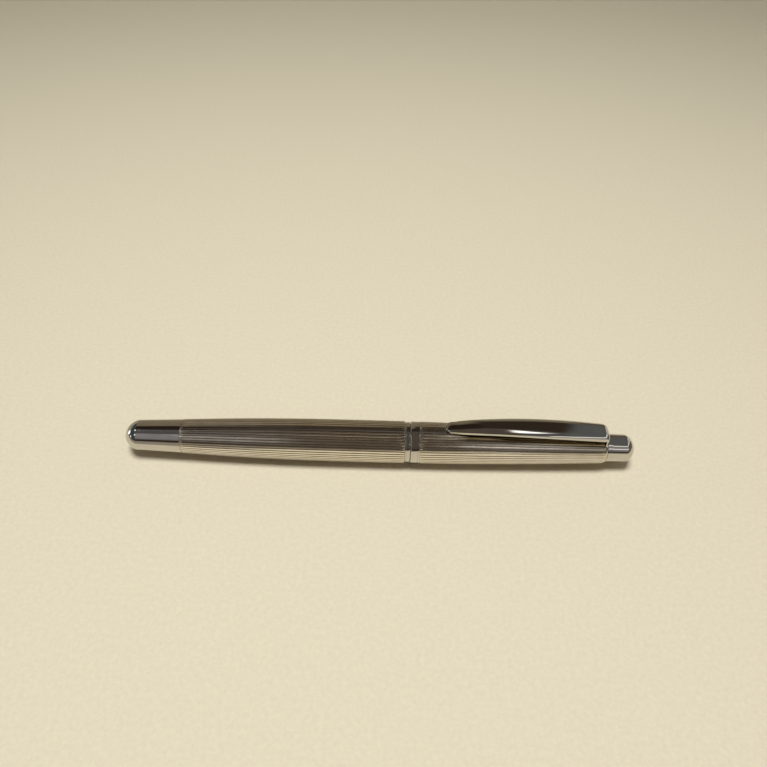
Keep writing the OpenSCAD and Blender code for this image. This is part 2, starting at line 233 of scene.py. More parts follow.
def cut(piece, cutter):
    """Takes a cutter's shape out of a piece for good."""
    step = piece.modifiers.new("cut", "BOOLEAN")
    step.operation = "DIFFERENCE"
    step.solver = "EXACT"
    step.object = cutter
    bpy.context.view_layer.update()
    shaped = piece.evaluated_get(bpy.context.evaluated_depsgraph_get())
    mesh = bpy.data.meshes.new_from_object(shaped)
    piece.modifiers.remove(step)
    piece.data = mesh
    bpy.data.objects.remove(cutter)
    tidy_mesh(piece.data)


# ---------- materials

class Tree:
    """Short way to build a node tree. A value is another node's socket or a plain constant."""

    def __init__(self, owner):
        owner.use_nodes = True
        self.tree = owner.node_tree

    def add(self, kind, **settings):
        node = self.tree.nodes.new(kind)
        for key, value in settings.items():
            if key in node.inputs:
                node.inputs[key].default_value = value
            else:
                setattr(node, key, value)
        return node

    def link(self, source, target):
        self.tree.links.new(source, target)

    def give(self, value, socket):
        if hasattr(value, "links"):
            self.link(value, socket)
        else:
            socket.default_value = value

    def calc(self, kind, *values):
        node = self.add("ShaderNodeMath", operation=kind)
        for value, socket in zip(values, node.inputs):
            self.give(value, socket)
        return node.outputs[0]

    def split(self, vector):
        node = self.add("ShaderNodeSeparateXYZ")
        self.link(vector, node.inputs["Vector"])
        return node.outputs

    def spread(self, value, low, high, to_low=0, to_high=1, **kind):
        """Moves the range from low to high onto another, and holds its ends beyond it."""
        node = self.add("ShaderNodeMapRange", **kind)
        limits = {"From Min": low, "From Max": high, "To Min": to_low, "To Max": to_high}
        for name, limit in limits.items():
            node.inputs[name].default_value = limit
        self.link(value, node.inputs["Value"])
        return node.outputs["Result"]

    def blend(self, amount, first, second):
        """A colour between two others."""
        node = self.add("ShaderNodeMix", data_type="RGBA")
        self.link(amount, node.inputs["Factor"])
        for colour, socket in ((first, node.inputs[6]), (second, node.inputs[7])):
            self.give((*colour, 1) if isinstance(colour, tuple) else colour, socket)
        return node.outputs[2]


class Surface(Tree):
    """A material whose colour, roughness and fine relief vary over the surface."""

    def __init__(self, name, **settings):
        self.material = bpy.data.materials.new(name)
        super().__init__(self.material)
        self.shader = self.tree.nodes["Principled BSDF"]
        for key, value in settings.items():
            self.shader.inputs[key.replace("_", " ")].default_value = value

    def place(self, stretch=(1, 1, 1)):
        """Object coordinates, stretched along each axis."""
        where = self.add("ShaderNodeTexCoord")
        mapping = self.add("ShaderNodeMapping", Scale=stretch)
        self.link(where.outputs["Object"], mapping.inputs["Vector"])
        return mapping.outputs["Vector"]

    def noise(self, scale, detail=4, rough=0.5, stretch=(1, 1, 1)):
        node = self.add("ShaderNodeTexNoise", Scale=scale, Detail=detail, Roughness=rough)
        self.link(self.place(stretch), node.inputs["Vector"])
        return node.outputs["Fac"]

    def colour(self, value):
        self.link(value, self.shader.inputs["Base Color"])

    def roughness(self, value, low, high, smoothest, roughest):
        self.link(self.spread(value, low, high, smoothest, roughest), self.shader.inputs["Roughness"])

    def bump(self, height, strength, distance):
        node = self.add("ShaderNodeBump", Strength=strength, Distance=distance)
        self.link(height, node.inputs["Height"])
        self.link(node.outputs["Normal"], self.shader.inputs["Normal"])


def polished_metal(name, bright, dull, rough=(0.05, 0.1), scratch=0.05):
    """Mirror-polished plate: a cloudy tint, hairline scratches along the pen and handling marks."""
    plate = Surface(name, Metallic=1.0)
    cloud = plate.noise(260, 3, 0.6)
    plate.colour(plate.blend(plate.spread(cloud, 0.35, 0.7), bright, dull))
    smear = plate.noise(420, 5, 0.65, (0.6, 1, 1))
    plate.roughness(smear, 0.3, 0.75, *rough)
    hair = plate.noise(9000, 2, 0.5, (0.04, 1, 1))
    plate.bump(hair, scratch, 2e-6)
    return plate.material


def fluted_silver():
    """Silver plate: rubbed lands, a darker patina in the flutes, painted shade on the strip of cap under
    the clip and a fine lengthwise grain.
    """
    plate = Surface("fluted_silver", Metallic=1.0)
    x, y, z = plate.split(plate.add("ShaderNodeTexCoord").outputs["Object"])
    # groove is 1 along the middle of a flute and 0 on the land beside it
    turn = plate.calc("MULTIPLY", plate.calc("ARCTAN2", y, z), FLUTES / (2 * pi))
    off_middle = plate.calc("SUBTRACT", plate.calc("FRACT", turn), (1 + FLUTE_LAND) / 2)
    groove = plate.spread(plate.calc("ABSOLUTE", off_middle), 0.06, (1 - FLUTE_LAND) / 2, 1, 0)
    grime = plate.noise(300, 4, 0.6)
    land = plate.blend(plate.spread(grime, 0.3, 0.7), (0.84, 0.78, 0.68), (0.72, 0.66, 0.56))
    rubbed = plate.blend(groove, land, (0.24, 0.19, 0.13))
    # this mask is 1 on the strip of cap under the clip, which gets painted shade from the clip; its limits
    # are in metres
    under_clip_shade = plate.spread(plate.calc("ABSOLUTE", y), 0.0028, 0.0034, 1, 0)
    for along, low, high in ((x, 0.021, 0.026), (z, 0, 0.001)):
        under_clip_shade = plate.calc("MULTIPLY", under_clip_shade, plate.spread(along, low, high))
    # painted shade of the clip on that strip, darker still in the flutes
    clip_shade_colour = plate.blend(groove, (0.2, 0.15, 0.08), (0.06, 0.045, 0.025))
    plate.colour(plate.blend(under_clip_shade, rubbed, clip_shade_colour))
    smear = plate.noise(500, 4, 0.6, (0.3, 1, 1))
    plate.roughness(smear, 0.3, 0.75, 0.10, 0.2)
    grain = plate.noise(12000, 2, 0.5, (0.02, 1, 1))
    plate.bump(grain, 0.08, 3e-6)
    return plate.material


def turned_brass():
    """Turned brass: fine rings from the lathe and patches of duller oxide."""
    brass = Surface("brass_fitting", Metallic=1.0)
    oxide = brass.noise(350, 4, 0.6)
    brass.colour(brass.blend(brass.spread(oxide, 0.35, 0.7), (0.80, 0.62, 0.30), (0.58, 0.42, 0.18)))
    brass.roughness(oxide, 0.3, 0.7, 0.18, 0.34)
    rings = brass.add("ShaderNodeTexWave", bands_direction="X", Scale=2600, Distortion=1.5)
    brass.link(brass.place(), rings.inputs["Vector"])
    brass.bump(rings.outputs["Fac"], 0.15, 4e-6)
    return brass.material


def moulded_plastic(name, colour, worn, rough, grain, scale=4000):
    """Moulded plastic: slight shade changes, duller worn patches and a fine moulded grain."""
    plastic = Surface(name, Metallic=0.0, IOR=1.5)
    wear = plastic.noise(280, 4, 0.6)
    plastic.colour(plastic.blend(plastic.spread(wear, 0.35, 0.7), colour, worn))
    plastic.roughness(wear, 0.3, 0.75, *rough)
    plastic.bump(plastic.noise(scale, 3, 0.6), grain, 6e-6)
    return plastic.material


def clear_plastic():
    """Clear moulded tube, with faint flow lines along it."""
    plastic = Surface("clear_plastic", Metallic=0.0, IOR=1.49, Transmission_Weight=0.92)
    flow = plastic.noise(500, 3, 0.5, (0.1, 1, 1))
    plastic.colour(plastic.blend(flow, (0.93, 0.96, 0.98), (0.80, 0.86, 0.90)))
    plastic.roughness(flow, 0.3, 0.7, 0.03, 0.12)
    plastic.bump(flow, 0.05, 5e-6)
    return plastic.material


def nib_steel():
    """Polished steel with a lengthwise brushed face."""
    steel = Surface("nib_steel", Metallic=1.0)
    brush = steel.noise(9000, 3, 0.55, (0.02, 1, 1))
    cloud = steel.noise(500, 3, 0.6)
    steel.colour(steel.blend(cloud, (0.82, 0.81, 0.79), (0.70, 0.69, 0.67)))
    steel.roughness(brush, 0.3, 0.7, 0.1, 0.24)
    steel.bump(brush, 0.12, 3e-6)
    return steel.material


# each plastic's slot, with its colour, worn colour, range of roughness, and depth and scale of grain
PLASTICS = {
    "grip_plastic": ((0.012, 0.012, 0.014), (0.03, 0.03, 0.033), (0.12, 0.25), 0.06),
    "feed_plastic": ((0.018, 0.018, 0.02), (0.035, 0.035, 0.036), (0.35, 0.5), 0.12),
    "liner_plastic": ((0.03, 0.03, 0.033), (0.05, 0.05, 0.052), (0.4, 0.55), 0.12),
    "piston_plastic": ((0.80, 0.80, 0.77), (0.70, 0.70, 0.67), (0.3, 0.45), 0.1),
    "seal_rubber": ((0.02, 0.02, 0.02), (0.045, 0.045, 0.045), (0.55, 0.75), 0.2, 6000),
}
MATERIALS = {slot: moulded_plastic(slot, *look) for slot, look in PLASTICS.items()}
MATERIALS |= {
    "polished_metal": polished_metal("polished_metal", (0.64, 0.61, 0.57), (0.58, 0.55, 0.51)),
    "tipping": polished_metal("tipping", (0.62, 0.62, 0.64), (0.52, 0.52, 0.54), (0.2, 0.32), 0.1),
    "fluted_silver": fluted_silver(),
    "brass_fitting": turned_brass(),
    "clear_plastic": clear_plastic(),
    "nib_steel": nib_steel(),
}


# ---------- barrel and cap tubes

def flute_angles():
    """Angles round the pen for one fluted ring: four points on each land and four across each flute."""
    land = [FLUTE_LAND * t for t in (0, 0.33, 0.67, 1)]
    flute = [FLUTE_LAND + (1 - FLUTE_LAND) * t for t in (0.22, 0.42, 0.58, 0.78)]
    pitch = 2 * pi / FLUTES
    return np.array([(k + t) * pitch for k in range(FLUTES) for t in land + flute])


def flute_relief(x0, x1, inside):
    """Relief that cuts the flutes into the outside between x0 and x1 and leaves the bore alone."""
    def relief(x, r, angle):
        part = (angle * FLUTES / (2 * pi)) % 1
        across = np.clip((part - FLUTE_LAND) / (1 - FLUTE_LAND), 0, 1)
        deep = np.sin(across * pi) ** 0.8
        ends = np.clip(np.minimum(x - x0, x1 - x) / FLUTE_FADE, 0, 1)
        on_skin = r > inside(x) + 0.2
        return r - FLUTE_DEPTH * deep * ends * on_skin
    return relief


def block(x0, x1, width, z0, z1):
    """Plain box between two x and two z values, for cutting only."""
    half = width / 2
    corners = [(x, y, z) for x in (x0, x1) for y in (-half, half) for z in (z0, z1)]
    faces = [(0, 1, 3, 2), (4, 6, 7, 5), (0, 4, 5, 1), (2, 3, 7, 6), (0, 2, 6, 4), (1, 5, 7, 3)]
    mesh = bpy.data.meshes.new("cutter")
    mesh.from_pydata([tuple(c * MM for c in corner) for corner in corners], [], faces)
    return placed("cutter", mesh)


def fluted_barrel():
    """Barrel tube with flutes from the tail cap's seam to the mouth ring."""
    x0, x1 = span("barrel_tube")

    def inside(x):
        return barrel_r(x) - TUBE_WALL

    places = spread_places(x0, x1, 59)
    outline = [(x0, inside(x0), SEAM), (x0, barrel_r(x0), SEAM)] + [(x, barrel_r(x)) for x in places]
    outline += [(x1, barrel_r(x1), SEAM), (x1, inside(x1), SEAM)]
    outline += [(x, inside(x)) for x in reversed(places)]
    relief = flute_relief(x0, x1, inside)
    piece = lathe("fluted_barrel_tube", eased(outline), relief=relief, angles=flute_angles())
    finished(piece, "barrel_tube", "fluted_silver")


def fluted_cap():
    """Cap tube with flutes from the lip ring to the rounded shoulder that holds the finial."""
    x0, x1 = span("cap_tube")
    end_wall, hole, shoulder, end_r = 1.6, 1.55, 1.1, 4.05
    bend = x1 - shoulder

    def inside(x):
        return cap_r(x) - TUBE_WALL

    runs = np.linspace(x0, bend, 48)
    outline = [(x0, inside(x0), SEAM), (x0, cap_r(x0), SEAM)] + [(x, cap_r(x)) for x in runs[1:]]
    drop = cap_r(bend) - end_r
    turns = np.linspace(0, pi / 2, 9)[1:-1]
    outline += [(bend + shoulder * sin(a), end_r + drop * cos(a)) for a in turns]
    floor_x = x1 - end_wall
    outline += [(x1, end_r, 0.03), (x1, hole), (floor_x, hole), (floor_x, inside(floor_x))]
    outline += [(x, inside(x)) for x in runs[-3:0:-1]]
    relief = flute_relief(x0, bend + 0.2, inside)
    piece = lathe("fluted_cap_tube", eased(outline), relief=relief, angles=flute_angles())
    notch_w, notch_low, notch_l = 5.6, 1.9, 0.77  # the notch that the clip comes out of
    cut(piece, block(x1 - notch_l, x1 + 1, notch_w, notch_low, CROWN_R))
    finished(piece, "cap_tube", "fluted_silver")


fluted_barrel()
fluted_cap()


# ---------- polished ends

def tail_cap():
    """Domed tail cap with a fine step at its seam and the bore for its stud."""
    x0, x1 = span("barrel_end")
    dome_l, dome_r, end_r = 4.1, 4.22, radius("barrel_end")
    points = dome(x0, dome_l, dome_r, DOME_POWER)
    stud_r, stud_l = 2.02, 5.0
    edge = [points[-1], (x1 - SEAM_W, end_r - 0.003, 0.06)]
    edge += [(x1 - SEAM_W, end_r - SEAM_D), (x1, end_r - SEAM_D)]
    bore = [(x1, stud_r, 0.05), (x1 - stud_l, stud_r), (x1 - stud_l, 0)]
    piece = lathe("tail_cap", points + eased(edge + bore)[1:], closed=False)
    finished(piece, "barrel_end", "polished_metal")


def finial():
    """Domed finial with the recess for the clip's washer and the bore for its screw."""
    x0, x1 = span("cap_finial")
    dome_l, dome_r, neck_r, skirt_r = 2.8, 3.8, 3.9, 4.0
    tip = dome(x1, -dome_l, dome_r, DOME_POWER)
    screw_r, screw_l, washer_r, washer_l = 1.52, 4.5, 3.22, 0.6
    inner = [(x0 + screw_l, 0), (x0 + screw_l, screw_r)]
    inner += [(x0 + washer_l, screw_r), (x0 + washer_l, washer_r)]
    face = [(x0, washer_r, 0.04), (x0, skirt_r - SEAM_D), (x0 + SEAM_W, skirt_r - SEAM_D)]
    face.append((x0 + SEAM_W, skirt_r - 0.01, 0.06))
    neck = [(x0 + 1, neck_r), (x0 + 2, (neck_r + dome_r) / 2), tip[-1]]
    outline = eased(inner + face + neck) + list(reversed(tip))[1:]
    piece = lathe("cap_finial_polished", outline, closed=False)
    finished(piece, "cap_finial", "polished_metal")


tail_cap()
finial()


# ---------- clip

class Blade:
    """Lines of the clip's bowed blade, in millimetres."""
    x0, x1 = span("clip_blade")
    peak_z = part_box("clip_blade")[1].z / MM
    widest = (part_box("clip_blade")[1].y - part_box("clip_blade")[0].y) / MM / 2
    crown_x, wide_x = x0 + 17.7, x0 + 28.7  # where it stands highest, and where it is widest
    tip_bow, end_bow, side_bow = 0.0046, 0.00146, 0.0018
    under_z, under_tip_bow, under_end_bow = peak_z - 1.45, 0.0029, 0.0021
    tip_r = 1.75  # its rounded tip, seen from above
    wall = 0.8  # its end wall
    corner = 1.5  # the bend from its top into the end wall
    edge = 0.05  # the rounding of its long edges
    shoulder_w = 1.75  # its rounded shoulder, where it is wide enough for a whole one
    foot_z = 3.9  # where the end wall meets the cap
    skew = 0.045  # slope across it, which grows from skew_x on and has doubled after skew_l
    skew_x, skew_l = crown_x - 4, 7

    def top(self, x):
        bow = self.tip_bow if x < self.crown_x else self.end_bow
        return self.peak_z - bow * (x - self.crown_x) ** 2

    def under(self, x):
        bow = self.under_tip_bow if x < self.crown_x else self.under_end_bow
        return self.under_z - bow * (x - self.crown_x) ** 2

    def half_width(self, x):
        if x < self.x0 + self.tip_r:
            return sqrt(max(0.0, self.tip_r ** 2 - (self.x0 + self.tip_r - x) ** 2)) + 0.02
        free = self.widest - self.side_bow * (x - self.wide_x) ** 2
        ease = min(1.0, (x - self.x0 - self.tip_r) / 2.2)
        return self.tip_r + 0.02 + (free - self.tip_r - 0.02) * sin(ease * pi / 2)

    def tilt(self, x):
        """Slope across the blade, which sits a shade off level, front edge lower, more so at its tip."""
        return self.skew * (1 + min(1, max(0, (self.skew_x - x) / self.skew_l)))

    def row(self, outer, inner, half, shoulder=1.0):
        """One cross-section from a point on the outer line to one on the inner line, both (x, z)."""
        outer, inner = Vector((outer[0], 0, outer[1])), Vector((inner[0], 0, inner[1]))
        thick = (outer - inner).length
        up = (outer - inner).normalized()
        # half of the profile: (distance across, depth below the outer point) over the nearly flat top,
        # round the shoulder from its lean to its fall, and down the side
        crown = 0.05 * shoulder * min(1, half / 2)
        beyond_tip = min(1, (outer.x - self.x0) / 11)
        side_w = min(self.shoulder_w * shoulder, half * (0.35 + 0.25 * beyond_tip))
        flat = half - side_w
        lean, fall = radians(5), radians(40)
        bow_r = side_w / (sin(fall) - sin(lean))
        profile = [(flat * i / 6, crown * (i / 6) ** 2) for i in range(7)]
        turns = [lean + (fall - lean) * i / 14 for i in range(1, 15)]
        profile += [(flat + bow_r * (sin(a) - sin(lean)),
                     crown + bow_r * (cos(lean) - cos(a))) for a in turns]
        deep = min(profile[-1][1], thick * 0.5)
        squeeze = deep / profile[-1][1]
        profile = [(y, d * squeeze) for y, d in profile]
        edge = self.edge
        profile[-1] = (half - edge * 0.9, deep - edge * 0.7)
        profile += [(half - edge * 0.2, deep + edge * 0.3), (half, deep + edge * 1.3)]
        profile += [(half, deep + (thick - deep) * t) for t in (0.35, 0.7, 0.88)]
        profile.append((half - 0.08, thick))
        profile = [(-y, d) for y, d in reversed(profile[1:])] + profile
        tilt, room_above = self.tilt(outer.x), outer.z - self.peak_z if outer.x < self.crown_x else 0
        profile = [(y, max(room_above, d - tilt * y) if d < thick else d) for y, d in profile]
        return [outer + Vector((0, y, 0)) - up * d for y, d in profile]


def clip():
    """Bowed spring blade: nearly flat top, rounded shoulders and an end wall that drops into the cap."""
    blade = Blade()
    rows = []
    tip_steps, body_steps, bend_steps, hug_r = 9, 56, 9, 4.16
    for i in range(tip_steps + 1):
        t = 1 - cos(pi / 2 * i / tip_steps)
        x = blade.x0 + blade.tip_r * t
        # the blade thins towards the very tip
        soft = 0.42 + 0.58 * sqrt(max(0.0, 1 - (1 - t) ** 3))
        middle = (blade.top(x) + blade.under(x)) / 2 + 0.05
        half_t = (blade.top(x) - blade.under(x)) / 2 * soft
        outer, inner = (x, middle + half_t), (x, middle - half_t)
        rows.append(blade.row(outer, inner, blade.half_width(x), 0.6 + 0.4 * t))
    wall_x, bend_x = blade.x1 - blade.wall, blade.x1 - blade.corner
    body_x = blade.x0 + blade.tip_r
    for i in range(1, body_steps + 1):
        x = body_x + (bend_x - body_x) * i / body_steps
        inner = (min(x, wall_x - 0.3), blade.under(x))
        rows.append(blade.row((x, blade.top(x)), inner, blade.half_width(x)))
    slope = atan(2 * blade.end_bow * (bend_x - blade.crown_x))
    centre_z = blade.top(bend_x) - cos(slope) * blade.corner
    end_half = blade.half_width(blade.x1)
    for i in range(1, bend_steps + 1):
        t = i / bend_steps
        a = slope + (pi / 2 - slope) * t
        outer = (bend_x + sin(a) * blade.corner, centre_z + cos(a) * blade.corner)
        inner = (wall_x - 0.3 * (1 - t) ** 2, blade.under(wall_x) - 0.35 * t * t)
        rows.append(blade.row(outer, inner, end_half - 0.03 * t, 1 - 0.35 * t))
    for t in (0.4, 0.75, 1.0):
        z = centre_z + (blade.foot_z - centre_z) * t
        rows.append(blade.row((blade.x1, z), (wall_x, z), end_half - 0.03, 0.65))
    points = np.array([[tuple(p) for p in row] for row in rows])
    # the last row hugs the round of the cap
    points[-1][:, 2] = np.sqrt(np.maximum(0, hug_r ** 2 - points[-1][:, 1] ** 2))
    piece = grid_mesh("clip_spring", points, False, True)
    close_ends(piece)
    smooth(piece.data, 40)
    finished(piece, "clip_blade", "polished_metal")


def clip_foot():
    """Pad pressed out under the clip's tip: a low dome that meets the cap."""
    low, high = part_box("clip_foot")
    x, z0, z1 = (low.x + high.x) / 2 / MM, low.z / MM, high.z / MM
    r = (high.x - low.x) / 2 / MM
    rows = []
    for i in range(13):
        a = pi / 2 * i / 12
        rows.append((r * sin(a), z0 + (z1 - z0 - 0.02) * (1 - cos(a)) ** 0.8))
    rows += [(r * 0.6, z1 - 0.01), (0, z1 - 0.01)]
    points = np.array([[(x + d * cos(a), d * sin(a), z) for a in around(48)] for d, z in rows])
    finished(grid_mesh("clip_pad", points, False, True), "clip_foot", "polished_metal")


clip()
clip_foot()


# ---------- turned pieces inside the pen

def run(x0, x1, r, step):
    """Points of a straight line along the pen, close enough together for a relief to show."""
    count = max(1, round(abs(x1 - x0) / step))
    return [(x0 + (x1 - x0) * i / count, r) for i in range(count + 1)]


def thread(x0, x1, low, high, deep, pitch=THREAD_PITCH):
    """Relief of a screw thread between two radii. A negative depth cuts outward, into a bore."""
    def relief(x, r, angle):
        turn = (x / pitch + angle / (2 * pi)) % 1
        # a cosine cut off at 0 and 1 gives flat crests and flat roots
        groove = np.clip(0.65 - 0.9 * np.cos(2 * pi * turn), 0, 1)
        ends = np.clip(np.minimum(x - x0, x1 - x) / (pitch / 2), 0, 1)
        return r - deep * groove * ends * ((r > low) & (r < high))
    return relief


def lengthwise(x0, x1, low, high, deep, count, fade=0.4):
    """Relief of rounded grooves along the pen between two radii."""
    def relief(x, r, angle):
        groove = np.clip(np.cos(angle * count), 0, 1) ** 0.7
        ends = np.clip(np.minimum(x - x0, x1 - x) / fade, 0, 1)
        return r - deep * groove * ends * ((r > low) & (r < high))
    return relief


def both(first, second):
    """Two reliefs on one piece."""
    return lambda x, r, angle: second(x, first(x, r, angle), angle)


def grooved(x0, x1, r, places, width=0.16, deep=0.08, ease=0.1):
    """Outside line of a turned piece from x0 to x1, with round-bottomed grooves at some places."""
    shape = (-1, 0), (-0.5, 0.8), (0, 1), (0.5, 0.8), (1, 0)  # how far across, and how deep
    line = [(x0, r, ease)]
    for x in places:
        line += [(x + width / 2 * across, r - deep * down) for across, down in shape]
    return line + [(x1, r, ease)]


def turned(name, node, slot, outline, closed=True, relief=None, turns=96):
    """A finished piece turned from an outline."""
    finished(lathe(name, eased(outline), closed, relief, around(turns)), node, slot)


def barrel_inside():
    """Threaded liner and ring at the barrel's mouth, and the stud that holds the tail cap."""
    x0, x1 = span("barrel_liner")
    bore, skin = 4.5, radius("barrel_liner")
    line = [(x0, bore, 0.12), (x0, skin, 0.15), (x1, skin, 0.15), (x1, bore, 0.12)]
    line += run(x1 - 0.2, x0 + 0.2, bore, 0.08)
    cut_thread = thread(x0, x1, 0, bore + 0.01, -0.2)
    turned("barrel_thread_liner", "barrel_liner", "brass_fitting", line, relief=cut_thread)
    x0, x1 = span("barrel_mouth_ring")
    bore, skin = 5.25, radius("barrel_mouth_ring")
    line = [(x0, bore)] + grooved(x0, x1, skin, [x0 + 0.4], ease=0.16) + [(x1, bore, 0.06)]
    turned("barrel_mouth_band", "barrel_mouth_ring", "polished_metal", line, turns=TURNS)
    x0, x1 = span("barrel_end_stud")
    seam = span("barrel_end")[1]
    stud_r, plug_r = 2.0, radius("barrel_end_stud")
    line = [(x0, 0), (x0, stud_r, 0.25)] + run(x0 + 0.3, seam - 0.1, stud_r, 0.08)
    line += [(seam, stud_r), (seam, plug_r, 0.12)] + run(seam + 0.3, x1 - 0.3, plug_r, 0.4)
    line += [(x1, plug_r, 0.2), (x1, 1.6, 0.1), (x1 - 1.2, 1.2), (x1 - 1.2, 0)]
    knurl = lengthwise(seam + 0.4, x1 - 0.4, plug_r - 0.02, plug_r + 0.1, 0.1, 36)
    relief = both(thread(x0, seam, stud_r - 0.01, stud_r + 0.01, 0.2), knurl)
    turned("tail_stud", "barrel_end_stud", "brass_fitting", line, False, relief, 216)


def section():
    """Threaded tube, sealing ring, clutch ring, grip, front ring and the housing for the nib."""
    x0, x1 = span("section_thread")
    thread_x, end_x = span("barrel_liner")
    thread_x += 0.2
    grip_x = span("section_grip")[0]
    bore, tenon, socket_l, thread_r = 3.6, 4.0, 4.65, radius("section_thread")
    line = [(x0, bore, 0.1), (x0, thread_r - 0.25, 0.12)]
    line += [(thread_x, thread_r - 0.25), (thread_x, thread_r, 0.1)]
    line += run(thread_x + 0.15, end_x - 0.15, thread_r, 0.08)
    line += [(end_x, thread_r, 0.05), (end_x, thread_r - 0.05)]
    line += [(grip_x, thread_r - 0.05), (grip_x, tenon), (x1, tenon, 0.12), (x1, bore, 0.08)]
    relief = thread(thread_x, end_x, thread_r - 0.01, thread_r + 0.01, 0.3)
    turned("section_threaded_tube", "section_thread", "brass_fitting", line, relief=relief)
    x0, x1 = span("section_o_ring")
    mid_x, ring_r = (x0 + x1) / 2, (x1 - x0) / 2
    mid_r = radius("section_o_ring") - ring_r
    line = []
    # a hair under its full size, except at its crest and its root
    for i, a in enumerate(around(32)):
        r = ring_r if i in (8, 24) else ring_r - 0.012
        line.append((mid_x + r * cos(a), mid_r + r * sin(a)))
    turned("section_seal_ring", "section_o_ring", "seal_rubber", line, turns=TURNS)
    x0, x1 = span("section_clutch_ring")
    ring_bore, places = 4.45, [x0 + 0.55, x0 + 0.9, x0 + 1.25]
    line = [(x0, ring_bore, 0.05)] + grooved(x0, x1, radius("section_clutch_ring"), places, ease=0.18)
    line.append((x1, ring_bore, 0.05))
    turned("section_clutch_band", "section_clutch_ring", "polished_metal", line, turns=TURNS)
    x0, x1 = span("section_grip")
    waist, waist_r = x0 + 0.8 * (x1 - x0), 4.0

    def grip_r(x):
        if x < waist:
            return waist_r + 0.6 * ((waist - x) / (waist - x0)) ** 2
        return waist_r + 0.22 * ((x - waist) / (x1 - waist)) ** 2

    line = [(x0, tenon), (x0, grip_r(x0) - 0.005, 0.15)]
    rings = (x0 + 1.1, x1 - 2.5, x1 - 1.9, x1 - 1.3)
    for i in range(1, 96):
        x = x0 + 0.3 + (x1 - x0 - 0.6) * i / 96
        dip = max(0.0, 1 - min(abs(x - ring) for ring in rings) / 0.14)
        line.append((x, grip_r(x) - 0.05 * sin(dip * pi / 2)))
    line += [(x1, grip_r(x1), 0.1), (x1, bore, 0.05), (x0 + socket_l, bore), (x0 + socket_l, tenon)]
    turned("section_grip_sleeve", "section_grip", "grip_plastic", line, turns=TURNS)
    x0, x1 = span("section_front_ring")
    ring_r, ring_bore, bead = radius("section_front_ring"), 3.1, 0.7
    line = [(x0, ring_bore), (x0, ring_r, 0.08), (x0 + 0.3, ring_r), (x0 + 0.36, ring_r - 0.06)]
    line += [(x0 + 0.44, ring_r - 0.06), (x0 + 0.5, ring_r)]
    turns = [radians(a) for a in range(0, 91, 9)]
    line += [(x1 - bead + bead * sin(a), ring_r - bead + bead * cos(a)) for a in turns]
    line.append((x1, ring_bore, 0.1))
    turned("section_front_band", "section_front_ring", "polished_metal", line, turns=TURNS)
    x0, x1 = span("nib_housing")
    wall_x, hole, spigot, skin, seat = x0 + 6.5, 0.45, 1.25, radius("nib_housing"), 3.05
    line = [(x0, hole, 0.06), (x0, spigot - 0.1, 0.2), (x0 + 1.2, spigot), (x0 + 1.4, spigot - 0.1)]
    line += [(wall_x, spigot - 0.1), (wall_x, skin, 0.2)]
    line += grooved(wall_x + 0.6, x1 - 0.3, skin, spread_places(wall_x, x1, 5), 0.5, 0.12, 0)
    line += [(x1, skin, 0.1), (x1, seat, 0.08), (wall_x + 1.4, seat), (wall_x + 1.4, hole)]
    turned("nib_housing_sleeve", "nib_housing", "feed_plastic", line)


